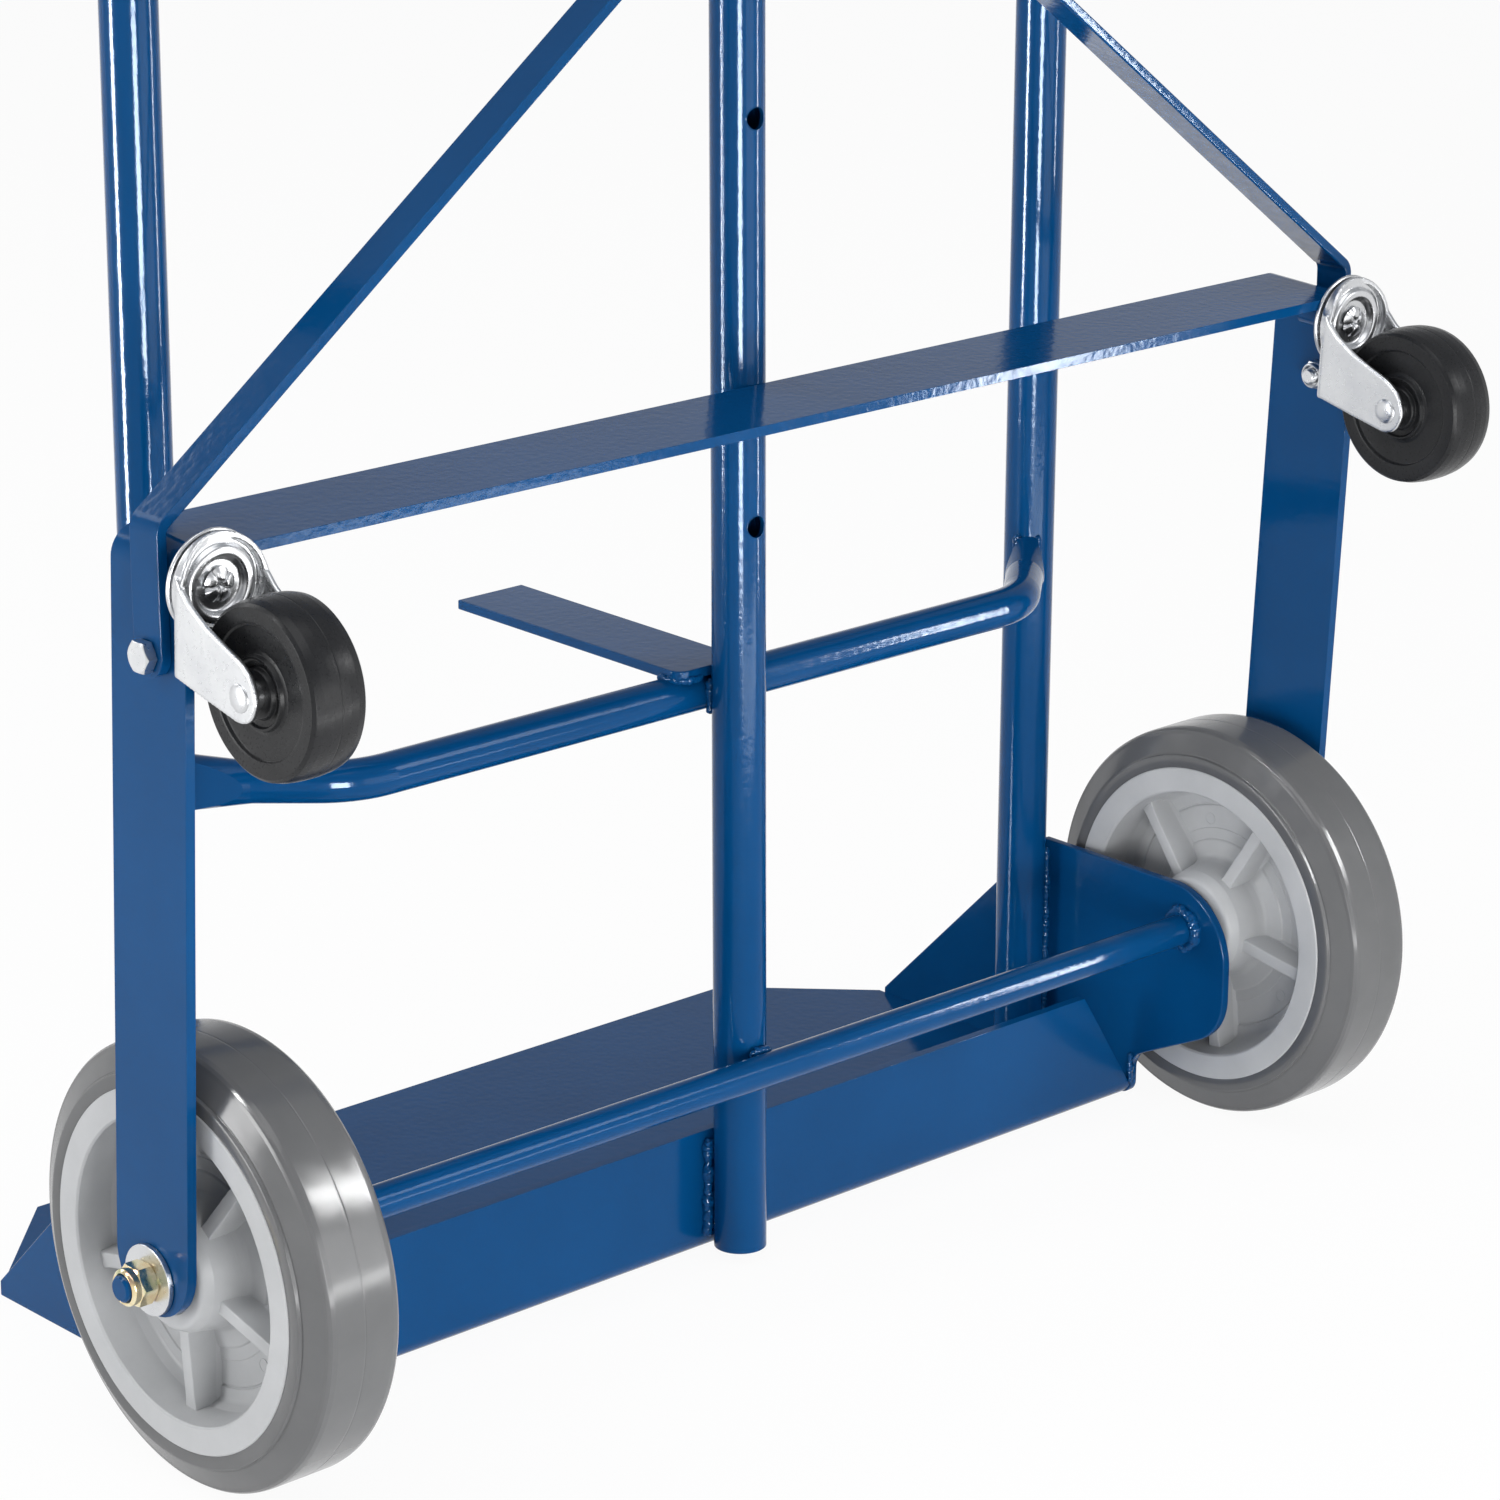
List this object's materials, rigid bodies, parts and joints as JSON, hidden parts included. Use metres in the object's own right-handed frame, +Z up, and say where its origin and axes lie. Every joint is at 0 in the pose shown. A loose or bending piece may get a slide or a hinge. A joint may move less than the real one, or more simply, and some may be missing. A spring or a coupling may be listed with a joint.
{
  "type": "folding platform cart",
  "caption": "Upright steel hand truck with a toe plate, whose caster cradle folds out on a sliding brace to make an inclined or flat platform cart.",
  "frame": {"origin": "on the floor, midway between the two main wheels and straight below their axle", "axes": "+Z up, +Y forwards to the toe plate, +X to the right as seen by the person behind the truck"},
  "size_m": [0.7528, 0.4083, 1.27],
  "materials": {
    "blue_paint": "glossy blue powder coat",
    "zinc": "bright zinc plate",
    "yellow_zinc": "yellow chromated zinc plate",
    "grey_tyre": "semi-gloss grey polyurethane",
    "grey_plastic": "satin light grey moulded plastic",
    "black_rubber": "hard black rubber",
    "black_plastic": "glossy black"
  },
  "bodies": {
    "frame": {"left_rail": "blue_paint", "right_rail": "blue_paint", "handle_loop": "blue_paint", "centre_tube": "blue_paint", "lower_cross_member": "blue_paint", "middle_cross_member": "blue_paint", "upper_cross_member": "blue_paint", "load_rest": "blue_paint", "toe_plate": "blue_paint", "left_side_plate": "blue_paint", "right_side_plate": "blue_paint", "axle": "blue_paint", "inner_spacers": "zinc", "outer_spacers": "zinc", "axle_washers": "zinc", "axle_nuts": "yellow_zinc"},
    "left_wheel": {"left_tyre": "grey_tyre", "left_wheel_hub": "grey_plastic", "left_wheel_bearings": "zinc"},
    "right_wheel": {"right_tyre": "grey_tyre", "right_wheel_hub": "grey_plastic", "right_wheel_bearings": "zinc"},
    "cradle": {"cradle_strap": "blue_paint", "stem_sockets": "blue_paint", "caster_stems": "zinc", "brace_bolts": "zinc", "brace_nuts": "zinc"},
    "brace": {"left_brace_arm": "blue_paint", "right_brace_arm": "blue_paint", "brace_tabs": "blue_paint", "brace_pivot_bolt": "zinc", "brace_pivot_nut": "zinc"},
    "sleeve": {"slide_sleeve": "blue_paint", "latch_spring": "zinc"},
    "latch": {"latch_pin": "zinc", "latch_knob": "black_plastic"},
    "left_swivel": {"left_caster_fork": "zinc", "left_caster_axle": "zinc"},
    "right_swivel": {"right_caster_fork": "zinc", "right_caster_axle": "zinc"},
    "left_roller": {"left_caster_wheel": "black_rubber"},
    "right_roller": {"right_caster_wheel": "black_rubber"}
  },
  "joints": [
    {"name": "left_wheel_spin", "type": "hinge", "parent": "frame", "child": "left_wheel", "pos_m": [-0.3234, 0, 0.1016], "axis": [1, 0, 0], "continuous": true},
    {"name": "right_wheel_spin", "type": "hinge", "parent": "frame", "child": "right_wheel", "pos_m": [0.3234, 0, 0.1016], "axis": [1, 0, 0], "continuous": true},
    {"name": "cradle_fold", "type": "hinge", "parent": "frame", "child": "cradle", "pos_m": [0, 0, 0.1016], "axis": [1, 0, 0], "range_deg": [0, 61.2]},
    {"name": "brace_swing", "type": "hinge", "parent": "cradle", "child": "brace", "pos_m": [0, -0.01953, 0.38562], "axis": [1, 0, 0], "range_deg": [-122.4, 0]},
    {"name": "sleeve_pivot", "type": "hinge", "parent": "brace", "child": "sleeve", "pos_m": [0, 0.00594, 0.66917], "axis": [1, 0, 0], "range_deg": [0, 61.2]},
    {"name": "latch_slide", "type": "slide", "parent": "sleeve", "child": "latch", "axis": [0, 0.9999, -0.0105], "range_m": [0, 0.009]},
    {"name": "left_caster_swivel", "type": "hinge", "parent": "cradle", "child": "left_swivel", "pos_m": [-0.34659, -0.03934, 0.41807], "axis": [0, 0.999, 0.0439], "continuous": true},
    {"name": "left_caster_spin", "type": "hinge", "parent": "left_swivel", "child": "left_roller", "pos_m": [-0.34659, -0.0872, 0.38424], "axis": [1, 0, 0], "continuous": true},
    {"name": "right_caster_swivel", "type": "hinge", "parent": "cradle", "child": "right_swivel", "pos_m": [0.34659, -0.03934, 0.41807], "axis": [0, 0.999, 0.0439], "continuous": true},
    {"name": "right_caster_spin", "type": "hinge", "parent": "right_swivel", "child": "right_roller", "pos_m": [0.34659, -0.0872, 0.38424], "axis": [1, 0, 0], "continuous": true}
  ],
  "couplings": [
    {"joint": "brace_swing", "follows": "cradle_fold", "ratio": -2},
    {"joint": "sleeve_pivot", "follows": "cradle_fold", "ratio": 1}
  ]
}
